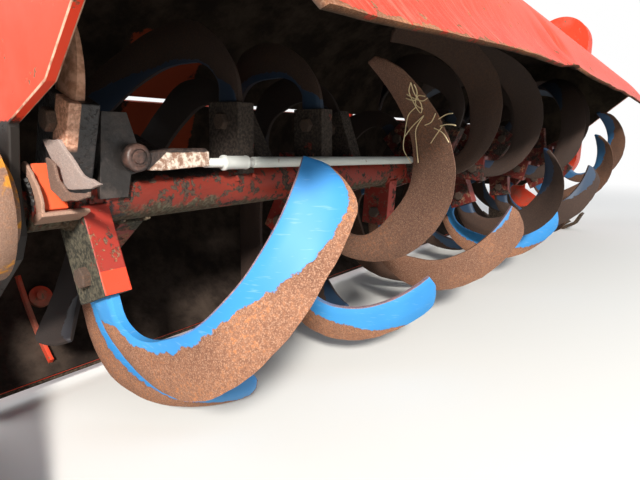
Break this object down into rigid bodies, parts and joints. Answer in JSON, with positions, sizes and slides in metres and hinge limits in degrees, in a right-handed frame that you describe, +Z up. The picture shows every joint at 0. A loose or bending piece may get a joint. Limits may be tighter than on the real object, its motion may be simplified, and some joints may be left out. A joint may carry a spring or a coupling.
{
  "type": "rotavator rotor in its hood",
  "caption": "Curved soil-tilling tines on a driven tube, turning under a rolled hood with end plates, skids and a hinged rear board.",
  "frame": {"origin": "middle of the footprint at floor level, under the skids", "axes": "+X along the rotor towards the drive case, +Y to the rear where the board hangs, +Z up"},
  "size_m": [1.98, 0.6664, 0.749],
  "materials": {
    "red_paint": "chipped and dusty",
    "worn_blade": "blue paint worn off to rust",
    "rusty_steel": "rusty",
    "bare_steel": "dull"
  },
  "bodies": {
    "housing": {"hood_sheet": "red_paint", "side_plate_near": "red_paint", "side_plate_far": "red_paint", "bearing_near": "rusty_steel", "drive_case": "red_paint", "top_beam": "red_paint", "skid_near": "red_paint", "skid_far": "red_paint", "hinge_pin": "bare_steel", "hinge_lugs": "red_paint", "hood_bands": "red_paint"},
    "rotor": {"rotor_tube": "red_paint", "tines_right": "worn_blade", "tines_left": "worn_blade", "eye_lug": "rusty_steel", "link_rod": "bare_steel"},
    "rear_board": {"rear_board": "red_paint", "board_frame": "red_paint", "board_hinges": "red_paint", "board_inner": "red_paint"},
    "input_shaft": {"input_shaft": "bare_steel"}
  },
  "joints": [
    {"name": "rotor_spin", "type": "hinge", "parent": "housing", "child": "rotor", "pos_m": [0, -0.009, 0.275], "axis": [1, 0, 0], "continuous": true},
    {"name": "input_spin", "type": "hinge", "parent": "housing", "child": "input_shaft", "pos_m": [0.8, -0.009, 0.659], "axis": [1, 0, 0], "continuous": true},
    {"name": "board_swing", "type": "hinge", "parent": "housing", "child": "rear_board", "pos_m": [0, 0.30869, 0.38439], "axis": [1, 0, 0], "range_deg": [0, 65]}
  ],
  "couplings": [
    {"joint": "input_spin", "follows": "rotor_spin", "ratio": 1.25}
  ]
}
